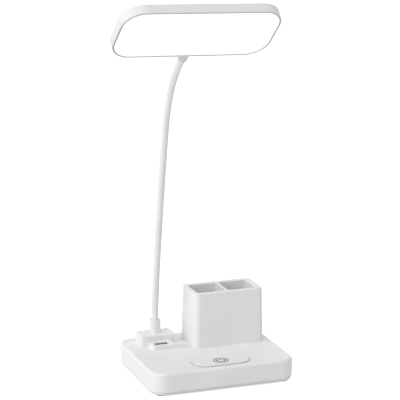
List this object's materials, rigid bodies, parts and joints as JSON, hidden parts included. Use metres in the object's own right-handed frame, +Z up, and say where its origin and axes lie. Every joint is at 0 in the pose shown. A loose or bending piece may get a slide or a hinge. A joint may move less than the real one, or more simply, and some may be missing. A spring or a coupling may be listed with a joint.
{
  "type": "desk lamp",
  "caption": "Slim light head on a bendable neck over a weighted base with a divided pen cup, a phone slot, a charging socket and a touch switch.",
  "frame": {"origin": "on the table, under the middle of the base's plan", "axes": "+X to the lamp's right, +Y to its back, +Z up; the head leans out over -Y"},
  "size_m": [0.1926, 0.1733, 0.389],
  "materials": {
    "white_shell": "satin moulded ABS",
    "rubber_foot": "matt moulded rubber",
    "screw_steel": "zinc plated",
    "weight_iron": "painted iron plate",
    "battery_wrap": "shrink wrap",
    "tape": "foam tape",
    "circuit_board": "green solder mask on glass-fibre laminate",
    "board_components": "moulded component bodies",
    "socket_metal": "nickel plated sheet",
    "socket_plastic": "moulded white insulator",
    "contact_brass": "gold flashed",
    "touch_cap": "glossy white cap",
    "conductive_foam": "conductive foam",
    "cup_white": "semi-gloss moulded ABS",
    "collar_white": "white powder coat",
    "neck_silicone": "soft white silicone",
    "core_steel": "bright drawn wire",
    "diffuser_opal": "milky PMMA, lit from behind",
    "led_board_white": "white solder mask on an aluminium board",
    "led_phosphor": "yellow phosphor",
    "reflector_white": "white PET film"
  },
  "bodies": {
    "base": {"base_shell": "white_shell", "battery": "battery_wrap", "battery_tape": "tape", "board_parts": "board_components", "board_screws": "screw_steel", "bottom_cover": "white_shell", "control_board": "circuit_board", "counterweight": "weight_iron", "cover_screws": "screw_steel", "cup_screws": "screw_steel", "inlet_board": "circuit_board", "inlet_screws": "screw_steel", "inlet_shell": "socket_metal", "inlet_tongue": "socket_plastic", "neck_anchor": "screw_steel", "neck_collar": "collar_white", "neck_core_0": "core_steel", "neck_nut": "screw_steel", "neck_sleeve_0": "neck_silicone", "neck_washer": "screw_steel", "pen_cup": "cup_white", "rubber_feet": "rubber_foot", "touch_contact": "conductive_foam", "touch_panel": "touch_cap", "usb_contacts": "contact_brass", "usb_socket_shell": "socket_metal", "usb_socket_tongue": "socket_plastic"},
    "neck_link_1": {"neck_sleeve_1": "neck_silicone", "neck_core_1": "core_steel"},
    "neck_link_2": {"neck_sleeve_2": "neck_silicone", "neck_core_2": "core_steel"},
    "neck_link_3": {"neck_sleeve_3": "neck_silicone", "neck_core_3": "core_steel"},
    "neck_link_4": {"neck_sleeve_4": "neck_silicone", "neck_core_4": "core_steel"},
    "neck_link_5": {"neck_sleeve_5": "neck_silicone", "neck_core_5": "core_steel"},
    "head": {"neck_sleeve_6": "neck_silicone", "neck_core_6": "core_steel", "neck_ferrule": "collar_white", "neck_clamp": "screw_steel", "clamp_screws": "screw_steel", "head_housing": "white_shell", "diffuser": "diffuser_opal", "led_board": "led_board_white", "leds": "led_phosphor", "reflector_sheet": "reflector_white", "led_board_screws": "screw_steel"}
  },
  "joints": [
    {"name": "neck_fold_1", "type": "hinge", "parent": "base", "child": "neck_link_1", "pos_m": [-0.041, 0.03551, 0.06756], "axis": [1, 0, 0], "range_deg": [-24, 24]},
    {"name": "neck_side_1", "type": "hinge", "parent": "neck_link_1", "child": "neck_link_2", "pos_m": [-0.041, 0.02904, 0.1133], "axis": [0, 0.9854, 0.1702], "range_deg": [-20, 20]},
    {"name": "neck_fold_2", "type": "hinge", "parent": "neck_link_2", "child": "neck_link_3", "pos_m": [-0.041, 0.0207, 0.15874], "axis": [1, 0, 0], "range_deg": [-24, 24]},
    {"name": "neck_side_2", "type": "hinge", "parent": "neck_link_3", "child": "neck_link_4", "pos_m": [-0.041, 0.01149, 0.20401], "axis": [0, 0.9781, 0.2079], "range_deg": [-20, 20]},
    {"name": "neck_fold_3", "type": "hinge", "parent": "neck_link_4", "child": "neck_link_5", "pos_m": [-0.041, 0.00165, 0.24915], "axis": [1, 0, 0], "range_deg": [-24, 24]},
    {"name": "neck_side_3", "type": "hinge", "parent": "neck_link_5", "child": "head", "pos_m": [-0.0416, -0.01634, 0.29142], "axis": [-0.0047, 0.8339, 0.5519], "range_deg": [-20, 20]}
  ],
  "couplings": [
    {"joint": "neck_fold_2", "follows": "neck_fold_1", "ratio": 1},
    {"joint": "neck_side_2", "follows": "neck_side_1", "ratio": 1},
    {"joint": "neck_fold_3", "follows": "neck_fold_1", "ratio": 1},
    {"joint": "neck_side_3", "follows": "neck_side_1", "ratio": 1}
  ]
}
